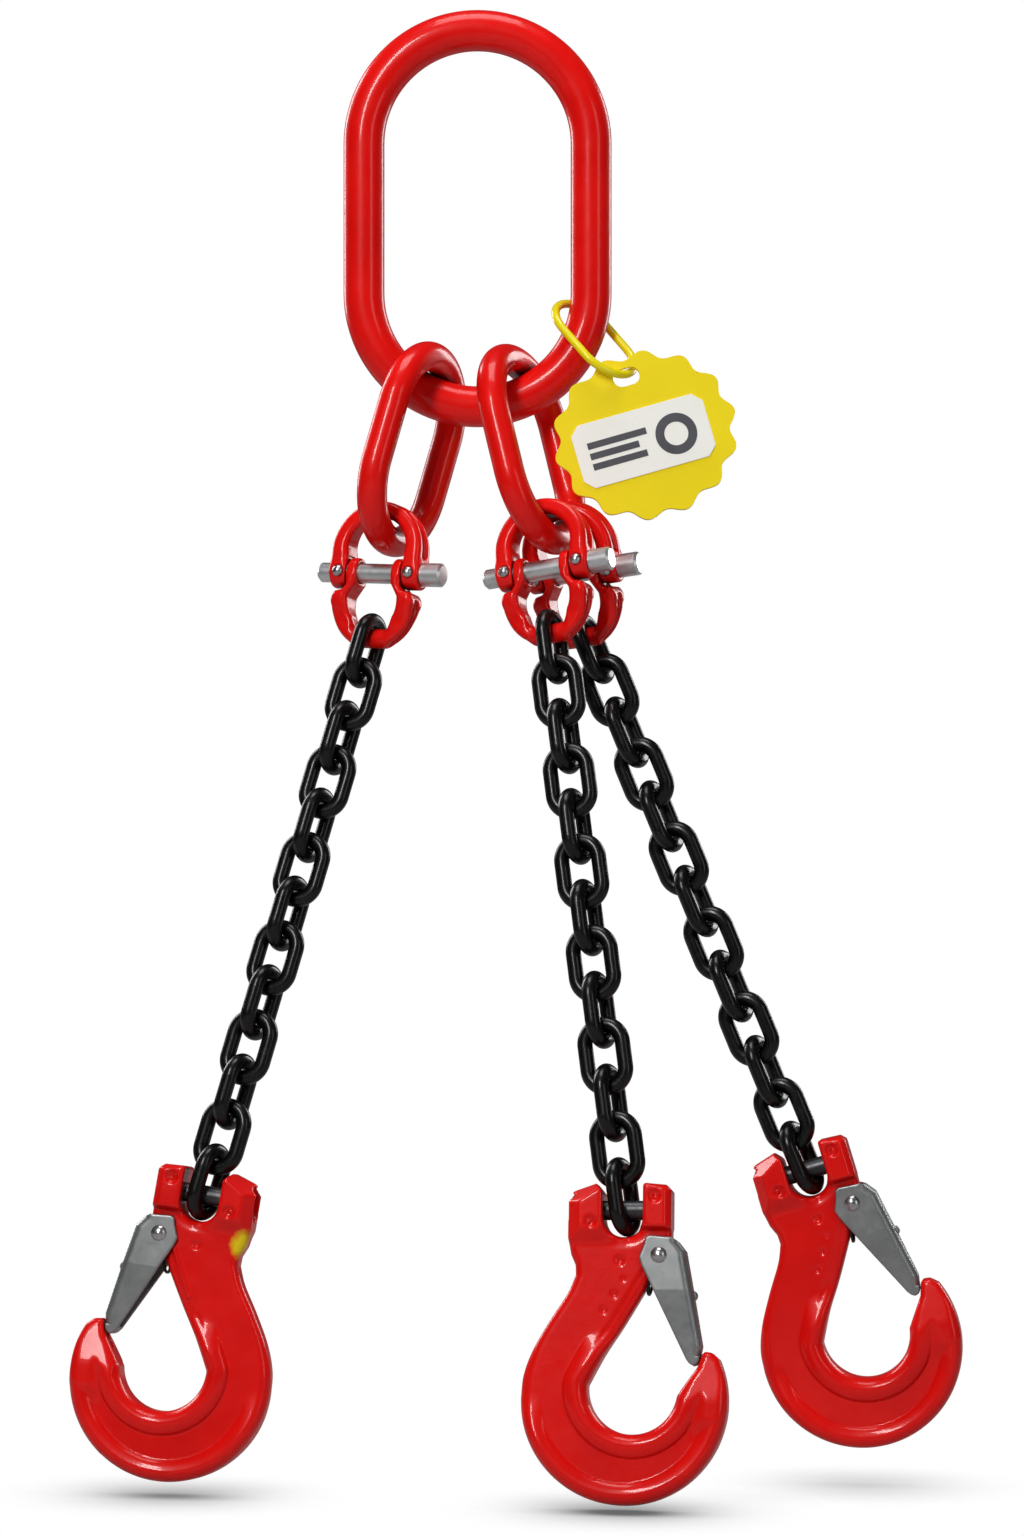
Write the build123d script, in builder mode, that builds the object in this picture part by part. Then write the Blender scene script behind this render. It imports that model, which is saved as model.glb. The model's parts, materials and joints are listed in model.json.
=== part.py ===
from build123d import *
import math
import os

# Three-leg chain sling, 8 mm grade 80 chain: a master link, two intermediate links, and
# three legs of joining link, chain and latched hook, with a tag on a ring.
# Frame: +Z up, origin on the inner top crown of the master link, where the crane hook
# bears. The master link lies in the XZ plane; -Y is the front. Millimetres and degrees.

# Oblong links: wire diameter, inner length, inner width
MASTER_WIRE, MASTER_LEN, MASTER_WIDTH = 22.0, 180.0, 100.0
INTER_WIRE, INTER_LEN, INTER_WIDTH = 16.0, 86.0, 54.0
RING_WIRE, RING_LEN, RING_WIDTH = 4.5, 50.0, 31.0

# Chain
CHAIN_WIRE = 8.0
CHAIN_PITCH = 24.4
CHAIN_GAP = 0.7             # running gap between two crowns
CHAIN_LEN = CHAIN_PITCH + CHAIN_GAP
CHAIN_WIDTH = 12.0
CROWN_TO_CROWN = CHAIN_LEN + CHAIN_WIRE     # between the wire centres of one link
LINKS_PER_LEG = 13

# Joining link (pin axis is local X, local origin on the pin axis)
JOIN_PIN_D = 10.6
JOIN_HEAD_D = 12.6
JOIN_PIN_LEFT = -35.0
JOIN_PIN_RIGHT = 38.0
JOIN_HALF_WIDTH = 26.0
JOIN_DEPTH = 17.0
JOIN_TOP = 38.5             # upper crown, outside
JOIN_TOP_IN = 29.8          # upper crown, inside
JOIN_BOTTOM = -41.0         # lower crown, outside
JOIN_BOTTOM_IN = -29.5      # lower crown, inside
JOIN_GROOVE = 2.6           # depth of the parting groove
KNUCKLE_R = 8.5
OUTER_KNUCKLE_X = 16.4      # inner face of each outer knuckle
INNER_KNUCKLE_X = 10.3      # inner face of each inner knuckle
INNER_KNUCKLE_END = 16.0    # outer face of each inner knuckle
BAR_Z = -35.2               # axis of the round bearing bar of the lower half
BAR_R = 5.2
STUD_D = 6.0
STUD_X = 20.6
PIN_GROOVE_R = JOIN_PIN_D / 2 - 1.4     # radius at the bottom of the stud grooves

# Hook (local origin at the load pin centre)
HOOK_PIN_D = 10.0
HOOK_PIN_LEFT = -21.5
HOOK_PIN_RIGHT = 21.0
PIN_OVER_BOWL = 90.7        # load pin above the bowl centre
PIN_BESIDE_BOWL = -3.4      # load pin sideways of the bowl centre
BOWL_T = 23.0               # bowl thickness
NECK_T = 16.4               # neck thickness under the latch
EAR_T = 27.0                # ear thickness
ROLL_D = 4.0
ROLL_Z = 6.0
ROLL_LEFT_X = -17.4
ROLL_RIGHT_X = 17.0
ROLL_PLACES = [(ROLL_LEFT_X, -ROLL_Z), (ROLL_RIGHT_X, ROLL_Z)]
RIVET_X = 15.1 - PIN_BESIDE_BOWL        # latch pivot
RIVET_Z = 67.6 - PIN_OVER_BOWL
RIVET_BORE_R = 2.6
LATCH_HALF_WIDTH = 10.3
LATCH_SHEET = 1.8

# Tag
TAG_A, TAG_B = 47.5, 43.5   # mean half width and half height
TAG_T = 3.0
TAG_LOBES = 14
TAG_WAVE = 0.045            # lobe height as a share of the radius
POINTS_PER_LOBE = 8
TAG_HOLE_X, TAG_HOLE_Z = -1.0, 33.5     # where the ring bears, on the plate
TAG_TILT = -6.0
TAG_ROLL = 16.0

# Rest positions: yaws are headings seen from above, counterclockwise from +X
INTER_YAW = 64.0
JOIN_YAW = -24.0            # right side nearer the front
WIDE_YAW = -17.0            # even chain links
LINK_TURN = 80.0            # odd links stand this far round the leg from the even ones

# angle on the master's lower crown, from straight down towards the left;
# seat: crown centre inside the master's centre line; hang: direction downwards
INTER = {
    "left": {"angle": 30.5, "seat": 19.25, "hang": (-25.6, -15.0, -91.3)},
    "right": {"angle": -26.0, "seat": 21.5, "hang": (22.0, -16.0, -92.0)},
}

# along, rise: where the leg hangs, from the low crown of its intermediate link;
# shift: joining link moved along its width;
# upper, lower, chain: downward directions of the joining link halves and the chain
LEGS = {
    "left": {
        "inter": "left", "along": 0.0, "rise": 2.8, "shift": -2.0,
        "upper": (-0.10, -0.09, -0.99), "lower": (-0.10, -0.12, -0.985),
        "chain": (-0.2737, -0.16, -0.9484),
        "hook_up": (0.165, 0.105, 0.98), "hook_yaw": 172.0,
    },
    "middle": {
        "inter": "right", "along": -10.0, "rise": 4.2, "shift": 0.0,
        "upper": (0.0, -0.25, -0.968), "lower": (0.07, -0.20, -0.977),
        "chain": (0.1205, -0.22, -0.968),
        "hook_up": (0.015, 0.190, 0.981), "hook_yaw": -8.0,
    },
    "right": {
        "inter": "right", "along": 11.2, "rise": 3.9, "shift": 4.0,
        "upper": (0.14, 0.18, -0.97), "lower": (0.12, -0.02, -0.99),
        "chain": (0.3744, -0.12, -0.9195),
        "hook_up": (-0.285, 0.085, 0.955), "hook_yaw": -8.0,
    },
}

# Distances between bearing centres, with a small clearance in each
INTER_OVER_PIN = JOIN_TOP_IN - INTER_WIRE / 2 - 0.3
CHAIN_OVER_BAR = BAR_R + CHAIN_WIRE / 2 + 0.4
CHAIN_OVER_HOOK_PIN = HOOK_PIN_D / 2 + CHAIN_WIRE / 2 + 0.5

# Links written together in one file: first and last link number
LINK_GROUPS = [(1, 1), (2, 2), (3, 5), (6, 6), (7, 9), (10, 10), (11, 12), (13, 13)]


# ------------------------------------------------------------ geometry helpers
def unit(direction):
    return Vector(*direction).normalized()


def square_to(direction, axis):
    """direction made perpendicular to the unit vector axis."""
    return (direction - axis * direction.dot(axis)).normalized()


def place(origin, side, up):
    """Location whose local X is along side and local Z along the unit vector up."""
    return Plane(origin=origin, x_dir=square_to(side, up), z_dir=up).location


def heading(degrees):
    angle = math.radians(degrees)
    return Vector(math.cos(angle), math.sin(angle), 0)


def master_crown(degrees, seat=0.0):
    """Point on the master's lower crown, seat inside the wire's centre line."""
    angle = math.radians(degrees)
    radius = MASTER_WIDTH / 2 + MASTER_WIRE / 2 - seat
    arc_z = -(MASTER_LEN - MASTER_WIDTH / 2)
    return Vector(-radius * math.sin(angle), 0, arc_z - radius * math.cos(angle))


def dome(base, height):
    """Middle point (radius, height) of a dome arc whose centre is on its axis."""
    radius = (base * base + height * height) / (2 * height)
    angle = math.asin(min(1.0, base / radius)) / 2
    return radius * math.sin(angle), height - radius + radius * math.cos(angle)


def from_bowl(*points):
    """Hook points (x, z) given from the bowl centre, returned from the load pin."""
    return [(x - PIN_BESIDE_BOWL, z - PIN_OVER_BOWL) for x, z in points]


# ------------------------------------------------------------ oblong wire links
def oblong_link(wire, length, width, centre_z=0.0):
    """Round wire link in the XZ plane, from its inner length and width."""
    radius = width / 2 + wire / 2
    top = centre_z + (length - width) / 2
    low = centre_z - (length - width) / 2
    with BuildPart() as link:
        with BuildLine(Plane.XZ) as path:
            Line((radius, low), (radius, top))
            ThreePointArc((radius, top), (0, top + radius), (-radius, top))
            Line((-radius, top), (-radius, low))
            ThreePointArc((-radius, low), (0, low - radius), (radius, low))
        with BuildSketch(Plane(origin=(radius, 0, low), z_dir=(0, 0, 1))):
            Circle(wire / 2)
        sweep(path=path.wires()[0])
    return link.part


# ------------------------------------------------------------ joining link
def joining_upper():
    """Arch with the two outer knuckles."""
    half_depth = JOIN_DEPTH / 2
    crown_half = 6.6            # half depth at the crown
    foot_z = -1
    spring_z = 12.5             # start of the outer arc
    out, split = JOIN_HALF_WIDTH, OUTER_KNUCKLE_X
    groove_x, groove_z = out - JOIN_GROOVE, 10.5
    with BuildPart() as upper:
        with BuildSketch(Plane.XZ):
            with BuildLine():
                Polyline((split, foot_z), (out, foot_z), (out, spring_z))
                ThreePointArc((out, spring_z), (0, JOIN_TOP), (-out, spring_z))
                Polyline((-out, spring_z), (-out, foot_z), (-split, foot_z), (-split, 9.6),
                         (-17.0, 12.8))
                ThreePointArc((-17.0, 12.8), (0, JOIN_TOP_IN), (17.0, 12.8))
                Polyline((17.0, 12.8), (split, 9.6), (split, foot_z))
            make_face()
        extrude(amount=half_depth, both=True)
        # side taper towards the crown
        with BuildSketch(Plane.YZ):
            with BuildLine():
                Polyline((-half_depth, foot_z), (half_depth, foot_z), (half_depth, 10),
                         (crown_half, 30), (crown_half, JOIN_TOP), (-crown_half, JOIN_TOP),
                         (-crown_half, 30), (-half_depth, 10), (-half_depth, foot_z))
            make_face()
        extrude(amount=out + 1, both=True, mode=Mode.INTERSECT)
        # parting groove round the outside of the arch
        with BuildSketch(Plane.XZ):
            with BuildLine():
                Polyline((out + 1, groove_z), (groove_x, groove_z), (groove_x, spring_z))
                ThreePointArc((groove_x, spring_z), (0, JOIN_TOP - JOIN_GROOVE),
                              (-groove_x, spring_z))
                Polyline((-groove_x, spring_z), (-groove_x, groove_z), (-out - 1, groove_z),
                         (-out - 1, JOIN_TOP + 1), (out + 1, JOIN_TOP + 1),
                         (out + 1, groove_z))
            make_face()
        extrude(amount=1.5, both=True, mode=Mode.SUBTRACT)
        # knuckles, right then left
        for start in (split, -out):
            with BuildSketch(Plane.YZ.offset(start)):
                Circle(KNUCKLE_R)
            extrude(amount=out - split)
        # bore for the load pin
        with BuildSketch(Plane.YZ.offset(-out - 1)):
            Circle(JOIN_PIN_D / 2 + 0.1)
        extrude(amount=2 * out + 2, mode=Mode.SUBTRACT)
        # bores for the locking studs, from the front
        with BuildSketch(Plane.XZ.offset(KNUCKLE_R + 1)):
            with Locations((-STUD_X, 0), (STUD_X, 0)):
                Circle(STUD_D / 2 - 0.5)
        extrude(amount=-(KNUCKLE_R + 1), mode=Mode.SUBTRACT)
    return upper.part


def joining_lower():
    """Smaller U with the two inner knuckles, flared below the outer ones."""
    half_depth = JOIN_DEPTH / 2
    flare_x, flare_z = 23.6, -19.0      # start of the outer arc
    groove_x = flare_x - JOIN_GROOVE
    inner, end = INNER_KNUCKLE_X, INNER_KNUCKLE_END
    with BuildPart() as lower:
        with BuildSketch(Plane.XZ):
            with BuildLine():
                Polyline((inner, 0), (end, 0), (end, -7.0), (18.0, -9.6), (22.0, -10.6))
                ThreePointArc((22.0, -10.6), (24.0, -14.0), (flare_x, flare_z))
                ThreePointArc((flare_x, flare_z), (0, JOIN_BOTTOM), (-flare_x, flare_z))
                ThreePointArc((-flare_x, flare_z), (-24.0, -14.0), (-22.0, -10.6))
                Polyline((-22.0, -10.6), (-18.0, -9.6), (-end, -7.0), (-end, 0),
                         (-inner, 0), (-inner, -6.0), (-14.6, -13.0))
                ThreePointArc((-14.6, -13.0), (0, JOIN_BOTTOM_IN), (14.6, -13.0))
                Polyline((14.6, -13.0), (inner, -6.0), (inner, 0))
            make_face()
        extrude(amount=half_depth, both=True)
        # side taper down to the bearing bar
        with BuildSketch(Plane.YZ):
            with BuildLine():
                Polyline((-half_depth, 0), (half_depth, 0), (half_depth, -14), (BAR_R, -27),
                         (BAR_R, JOIN_BOTTOM), (-BAR_R, JOIN_BOTTOM), (-BAR_R, -27),
                         (-half_depth, -14), (-half_depth, 0))
            make_face()
        extrude(amount=JOIN_HALF_WIDTH + 1, both=True, mode=Mode.INTERSECT)
        # parting groove round the outside of the U
        with BuildSketch(Plane.XZ):
            with BuildLine():
                Polyline((25.0, -13.0), (21.2, -13.0), (groove_x, flare_z))
                ThreePointArc((groove_x, flare_z), (0, JOIN_BOTTOM + JOIN_GROOVE),
                              (-groove_x, flare_z))
                Polyline((-groove_x, flare_z), (-21.2, -13.0), (-25.0, -13.0),
                         (-25.0, JOIN_BOTTOM - 1), (25.0, JOIN_BOTTOM - 1), (25.0, -13.0))
            make_face()
        extrude(amount=1.4, both=True, mode=Mode.SUBTRACT)
        # round bearing bar where the first chain link hangs
        with BuildSketch(Plane.YZ):
            with Locations((0, BAR_Z)):
                Rectangle(26, 14.5)
                Circle(BAR_R, mode=Mode.SUBTRACT)
        extrude(amount=7.4, both=True, mode=Mode.SUBTRACT)
        # knuckles, right then left
        for start in (inner, -end):
            with BuildSketch(Plane.YZ.offset(start)):
                Circle(KNUCKLE_R - 0.4)
            extrude(amount=end - inner)
        # bore for the load pin
        with BuildSketch(Plane.YZ.offset(-JOIN_HALF_WIDTH - 1)):
            Circle(JOIN_PIN_D / 2 + 0.15)
        extrude(amount=2 * JOIN_HALF_WIDTH + 2, mode=Mode.SUBTRACT)
        # relief so that the flare clears the outer knuckles when it hinges
        for side in (1, -1):
            with BuildSketch(Plane.YZ.offset(side * (OUTER_KNUCKLE_X - 0.2))):
                Circle(KNUCKLE_R + 0.4)
            extrude(amount=side * JOIN_HALF_WIDTH, mode=Mode.SUBTRACT)
    return lower.part


def joining_pin():
    """Load pin with a larger head on the right and grooves for the studs."""
    radius, head_r = JOIN_PIN_D / 2, JOIN_HEAD_D / 2
    groove_half = 2.8
    left_chamfer, right_chamfer = 1.6, 1.2
    head_x = JOIN_HALF_WIDTH + 0.4
    with BuildPart() as pin:
        with BuildSketch(Plane.XY):
            with BuildLine():
                Polyline((JOIN_PIN_LEFT, 0), (JOIN_PIN_LEFT, radius - left_chamfer),
                         (JOIN_PIN_LEFT + left_chamfer, radius),
                         (-STUD_X - groove_half, radius), (-STUD_X - groove_half, PIN_GROOVE_R),
                         (-STUD_X + groove_half, PIN_GROOVE_R), (-STUD_X + groove_half, radius),
                         (STUD_X - groove_half, radius), (STUD_X - groove_half, PIN_GROOVE_R),
                         (STUD_X + groove_half, PIN_GROOVE_R), (STUD_X + groove_half, radius),
                         (head_x, radius), (head_x, head_r),
                         (JOIN_PIN_RIGHT - right_chamfer, head_r),
                         (JOIN_PIN_RIGHT, head_r - right_chamfer),
                         (JOIN_PIN_RIGHT, 0), (JOIN_PIN_LEFT, 0))
            make_face()
        revolve(axis=Axis.X)
    return pin.part


def joining_studs():
    """Two locking studs: domed heads on the front, shanks reaching the pin grooves."""
    head_r, head_height = STUD_D / 2, 1.9
    shank_r = head_r - 0.55
    front = -KNUCKLE_R - 0.35
    root = -PIN_GROOVE_R - 0.2
    bulge_r, bulge_height = dome(head_r, head_height)
    with BuildPart() as studs:
        with BuildSketch(Plane.XY):
            with BuildLine():
                Polyline((STUD_X, root), (STUD_X + shank_r, root), (STUD_X + shank_r, front),
                         (STUD_X + head_r, front))
                ThreePointArc((STUD_X + head_r, front),
                              (STUD_X + bulge_r, front - bulge_height),
                              (STUD_X, front - head_height))
                Line((STUD_X, front - head_height), (STUD_X, root))
            make_face()
        revolve(axis=Axis((STUD_X, 0, 0), (0, 1, 0)))
        mirror(about=Plane.YZ)
    return studs.part


# ------------------------------------------------------------ sling hook
def hook_body():
    """Hook with two ears round the chain; the latch side is local +X."""
    ear, bowl, neck = EAR_T / 2, BOWL_T / 2, NECK_T / 2
    top = 15.5
    ear_low = 82.0 - PIN_OVER_BOWL
    neck_top = 79.0 - PIN_OVER_BOWL
    neck_low = 36.0 - PIN_OVER_BOWL
    bowl_z = -PIN_OVER_BOWL
    bottom = -58.5 - PIN_OVER_BOWL
    tip_half = 7.0
    tip_x = 22 - PIN_BESIDE_BOWL        # the tip taper is cut from here outwards
    bore_start = -30
    with BuildPart() as body:
        # outline seen from the front, points (x, z) from the bowl centre
        with BuildSketch(Plane.XZ):
            with BuildLine():
                # latch side ear and neck
                Polyline(*from_bowl((6.8, 101.2), (9.4, 103.9), (18.6, 103.4), (21.2, 100.5),
                                    (21.2, 72.5), (17.6, 64.5), (11.8, 56.5)))
                # inside of the neck and bowl, up to the tip
                Spline(*from_bowl((11.8, 56.5), (-3.1, 31.8), (-13.1, 16.9), (-21.2, 1.9)))
                ThreePointArc(*from_bowl((-21.2, 1.9), (0.8, -22.5), (24.4, -3.1)))
                Polyline(*from_bowl((24.4, -3.1), (34.9, 11.6), (36.9, 17.9), (38.6, 19.3),
                                    (42.0, 18.8), (45.9, 15.4)))
                # outside of the tip, bowl and neck
                ThreePointArc(*from_bowl((45.9, 15.4), (49.4, 2.6), (49.8, -10.6)))
                ThreePointArc(*from_bowl((49.8, -10.6), (-2.8, -57.9), (-55.4, -4.3)))
                Spline(*from_bowl((-55.4, -4.3), (-54.2, 6.8), (-49.5, 19.3), (-40.7, 34.5),
                                  (-31.8, 48.3), (-27.8, 57.5)))
                # outer ear
                Polyline(*from_bowl((-27.8, 57.5), (-28.0, 62.5), (-30.4, 68.0), (-31.8, 76.0),
                                    (-31.8, 98.4), (-29.4, 100.6), (-16.4, 104.4),
                                    (-13.6, 101.8)))
                # gap between the ears
                Line(*from_bowl((-13.6, 101.8), (-13.6, 83.0)))
                ThreePointArc(*from_bowl((-13.6, 83.0), (-3.4, 75.6), (6.8, 83.0)))
                Line(*from_bowl((6.8, 83.0), (6.8, 101.2)))
            make_face()
        extrude(amount=ear, both=True)
        # side view: thin neck, thicker ears and bowl
        with BuildSketch(Plane.YZ):
            with BuildLine():
                Polyline((-ear, top), (ear, top), (ear, ear_low), (neck, neck_top),
                         (neck, neck_low), (bowl, bowl_z), (bowl, bottom), (-bowl, bottom),
                         (-bowl, bowl_z), (-neck, neck_low), (-neck, neck_top),
                         (-ear, ear_low), (-ear, top))
            make_face()
        extrude(amount=60, both=True, mode=Mode.INTERSECT)
        # tip narrows from both sides
        for side in (-1, 1):
            with BuildSketch(Plane.YZ.offset(tip_x)):
                with BuildLine():
                    Polyline((side * (bowl + 1), bowl_z - 10), (side * (bowl + 1), bowl_z + 20),
                             (side * tip_half, bowl_z + 20), (side * tip_half, bowl_z + 12),
                             (side * (bowl + 1), bowl_z - 10))
                make_face()
            extrude(amount=40, mode=Mode.SUBTRACT)
        # crescent recess in each face of the bowl
        for side in (1, -1):
            with BuildSketch(Plane.XZ.offset(side * (bowl - 4.2))):
                with BuildLine():
                    ThreePointArc(*from_bowl((37.0, -12.0), (-2.8, -48.1), (-43.0, 2.0)))
                    ThreePointArc(*from_bowl((-43.0, 2.0), (-0.5, -36.7), (37.0, -12.0)))
                make_face()
            extrude(amount=side * 10, mode=Mode.SUBTRACT)
        # spot face for the coil of the latch spring, local -Y side
        with BuildSketch(Plane.XZ.offset(5.5)):
            with Locations((RIVET_X, RIVET_Z)):
                Circle(6.4)
        extrude(amount=3.0, mode=Mode.SUBTRACT)
        # load pin bore, entered from the outer ear, blind in the latch side ear
        with BuildSketch(Plane.YZ.offset(bore_start)):
            Circle(HOOK_PIN_D / 2 + 0.1)
        extrude(amount=51.5, mode=Mode.SUBTRACT)
        # upright slot recess at the mouth of that bore
        with BuildSketch(Plane.YZ.offset(bore_start)):
            SlotOverall(18, 13.5, rotation=90)
        extrude(amount=6.0, mode=Mode.SUBTRACT)
        # roll pin bores and their counterbores on the local -Y side
        with BuildSketch(Plane.XZ):
            with Locations(*ROLL_PLACES):
                Circle(ROLL_D / 2 + 0.05)
        extrude(amount=20, both=True, mode=Mode.SUBTRACT)
        with BuildSketch(Plane.XZ.offset(ear - 2.6)):
            with Locations(*ROLL_PLACES):
                Circle(3.7)
        extrude(amount=10, mode=Mode.SUBTRACT)
        # latch rivet bore
        with BuildSketch(Plane.XZ):
            with Locations((RIVET_X, RIVET_Z)):
                Circle(RIVET_BORE_R)
        extrude(amount=20, both=True, mode=Mode.SUBTRACT)
        # shallow round marks down the local -Y face of the neck
        with BuildSketch(Plane.XZ.offset(neck - 0.8)):
            with Locations(*from_bowl((-8.6, 61.5), (-10.5, 48.0), (-15.4, 40.2))):
                Circle(3.0)
        extrude(amount=5, mode=Mode.SUBTRACT)
    return body.part


def hook_load_pin():
    """Pin through the ears, grooved where the roll pins cross it."""
    radius = HOOK_PIN_D / 2
    groove_r = ROLL_Z - ROLL_D / 2 - 0.1
    groove_half = 2.4
    chamfer_len = 0.8
    with BuildPart() as pin:
        with BuildSketch(Plane.XY):
            with BuildLine():
                Polyline((HOOK_PIN_LEFT, 0), (HOOK_PIN_LEFT, radius - chamfer_len),
                         (HOOK_PIN_LEFT + chamfer_len, radius),
                         (ROLL_LEFT_X - groove_half, radius),
                         (ROLL_LEFT_X - groove_half, groove_r),
                         (ROLL_LEFT_X + groove_half, groove_r),
                         (ROLL_LEFT_X + groove_half, radius),
                         (ROLL_RIGHT_X - groove_half, radius),
                         (ROLL_RIGHT_X - groove_half, groove_r),
                         (ROLL_RIGHT_X + groove_half, groove_r),
                         (ROLL_RIGHT_X + groove_half, radius),
                         (HOOK_PIN_RIGHT - chamfer_len, radius),
                         (HOOK_PIN_RIGHT, radius - chamfer_len),
                         (HOOK_PIN_RIGHT, 0), (HOOK_PIN_LEFT, 0))
            make_face()
        revolve(axis=Axis.X)
    return pin.part


def hook_roll_pins():
    """Two roll pins along local Y, one through each ear."""
    with BuildPart() as pins:
        with BuildSketch(Plane.XZ.offset(-EAR_T / 2 + 1.0)):
            with Locations(*ROLL_PLACES):
                Circle(ROLL_D / 2)
        extrude(amount=EAR_T - 4.0)
    return pins.part


def hook_latch():
    """Folded sheet channel from the rivet to the hook tip."""
    # points (x, z) from the bowl centre
    outline = from_bowl((7.6, 77.6), (24.3, 76.2), (28.2, 70.6), (37.0, 22.0), (35.4, 14.6),
                        (33.0, 12.2), (29.0, 15.2), (4.9, 67.0))
    inside = from_bowl((6.0, 90.0), (22.6, 90.0), (26.2, 70.3), (34.4, 25.5), (30.0, 18.0),
                       (2.0, 62.0))
    low = 10.0 - PIN_OVER_BOWL
    middle = 50.0 - PIN_OVER_BOWL       # the channel narrows from here down to low
    top = 80.0 - PIN_OVER_BOWL
    width, tip = LATCH_HALF_WIDTH, 5.6
    width_in, tip_in = width - LATCH_SHEET, tip - LATCH_SHEET
    with BuildPart() as hollow:
        with BuildSketch(Plane.XZ):
            with BuildLine():
                Polyline(*inside, close=True)
            make_face()
        extrude(amount=width_in, both=True)
        with BuildSketch(Plane.YZ):
            with BuildLine():
                Polyline((-tip_in, low), (tip_in, low), (width_in, middle),
                         (width_in, top + 15), (-width_in, top + 15), (-width_in, middle),
                         (-tip_in, low))
            make_face()
        extrude(amount=60, both=True, mode=Mode.INTERSECT)

    with BuildPart() as latch:
        with BuildSketch(Plane.XZ):
            with BuildLine():
                Polyline(*outline, close=True)
            make_face()
        extrude(amount=width, both=True)
        fillet(latch.edges().filter_by(Axis.Y), 1.2)
        with BuildSketch(Plane.YZ):
            with BuildLine():
                Polyline((-tip, low), (tip, low), (width, middle), (width, top),
                         (-width, top), (-width, middle), (-tip, low))
            make_face()
        extrude(amount=60, both=True, mode=Mode.INTERSECT)
        add(hollow.part, mode=Mode.SUBTRACT)
        with BuildSketch(Plane.XZ):
            with Locations((RIVET_X, RIVET_Z)):
                Circle(RIVET_BORE_R)
        extrude(amount=width + 1, both=True, mode=Mode.SUBTRACT)
    return latch.part


def hook_latch_rivet():
    """Rivet along local Y with a domed head at each end."""
    head_r, head_height = 4.1, 2.0
    shank_x = RIVET_X + 2.45
    seat = LATCH_HALF_WIDTH + 0.15
    end = seat + head_height
    bulge_r, bulge_height = dome(head_r, head_height)
    with BuildPart() as rivet:
        with BuildSketch(Plane.XY):
            with BuildLine():
                Polyline((RIVET_X, end), (RIVET_X, -end))
                ThreePointArc((RIVET_X, -end), (RIVET_X + bulge_r, -seat - bulge_height),
                              (RIVET_X + head_r, -seat))
                Polyline((RIVET_X + head_r, -seat), (shank_x, -seat), (shank_x, seat),
                         (RIVET_X + head_r, seat))
                ThreePointArc((RIVET_X + head_r, seat),
                              (RIVET_X + bulge_r, seat + bulge_height), (RIVET_X, end))
            make_face()
        revolve(axis=Axis((RIVET_X, 0, 0), (0, 1, 0)))
    return rivet.part.moved(Location((0, 0, RIVET_Z)))


def hook_latch_spring():
    """One turn of spring wire round the rivet."""
    pitch = 1.35
    with BuildPart() as spring:
        with BuildLine() as coil:
            Helix(pitch=pitch, height=pitch, radius=3.95, center=(RIVET_X, -6.3, RIVET_Z),
                  direction=(0, -1, 0))
        with BuildSketch(Plane(origin=coil.line @ 0, z_dir=coil.line % 0)):
            Circle(0.55)
        sweep(path=coil.line, is_frenet=True)
    return spring.part


# ------------------------------------------------------------ tag
def tag_plate():
    """Oval plate with a wavy rim and a slot for the ring."""
    rim = []
    count = TAG_LOBES * POINTS_PER_LOBE
    for i in range(count):
        angle = 2 * math.pi * i / count
        wave = 1.0 + TAG_WAVE * math.cos(TAG_LOBES * angle)
        rim.append((TAG_A * wave * math.cos(angle), TAG_B * wave * math.sin(angle)))
    with BuildPart() as plate:
        with BuildSketch(Plane.XZ):
            with BuildLine():
                Spline(*rim, periodic=True)
            make_face()
            with Locations((TAG_HOLE_X, TAG_HOLE_Z - 0.6)):
                SlotOverall(14.5, 9.6, mode=Mode.SUBTRACT)
        extrude(amount=TAG_T / 2, both=True)
    return plate.part


def tag_label():
    """Thin label with cut corners on the front of the plate."""
    with BuildPart() as label:
        with BuildSketch(Plane.XZ.offset(TAG_T / 2)) as face:
            with Locations((-2.0, -3.0)):
                Rectangle(73, 35)
            chamfer(face.vertices(), 5.0)
        extrude(amount=0.6)
    return label.part


# ------------------------------------------------------------ places
def inter_places(inter):
    """Location of an intermediate link and the wire centre of its low crown."""
    hang = unit(inter["hang"])
    top = master_crown(inter["angle"], inter["seat"])
    length = INTER_LEN + INTER_WIRE
    location = place(top + hang * (length / 2), heading(INTER_YAW), -hang)
    return location, top + hang * length


def leg_places(leg, inter_low):
    """Locations of the joining link halves, the chain links and the hook of a leg."""
    upper, lower, chain = unit(leg["upper"]), unit(leg["lower"]), unit(leg["chain"])
    side = heading(JOIN_YAW)
    hang = inter_low + heading(INTER_YAW) * leg["along"] + Vector(0, 0, leg["rise"])
    pin = hang + upper * INTER_OVER_PIN + side * leg["shift"]
    # the pin axis is shared: square to both halves as nearly as the lean allows
    pin_axis = square_to(side, -lower)
    upper_at = place(pin, pin_axis, square_to(-upper, pin_axis))
    lower_at = place(pin, pin_axis, -lower)

    bar = pin - lower * BAR_Z
    first_crown = bar - square_to(chain, pin_axis) * CHAIN_OVER_BAR
    even_side = square_to(heading(WIDE_YAW), -chain)
    turn = math.radians(LINK_TURN)
    odd_side = even_side * math.cos(turn) + (-chain).cross(even_side) * math.sin(turn)
    links = []
    for k in range(LINKS_PER_LEG):
        middle = first_crown + chain * (k * CHAIN_PITCH + CROWN_TO_CROWN / 2)
        links.append(place(middle, even_side if k % 2 else odd_side, -chain))

    last_crown = first_crown + chain * ((LINKS_PER_LEG - 1) * CHAIN_PITCH + CROWN_TO_CROWN)
    hook_at = place(last_crown - chain * CHAIN_OVER_HOOK_PIN, heading(leg["hook_yaw"]),
                    unit(leg["hook_up"]))
    return upper_at, lower_at, links, hook_at


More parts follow.
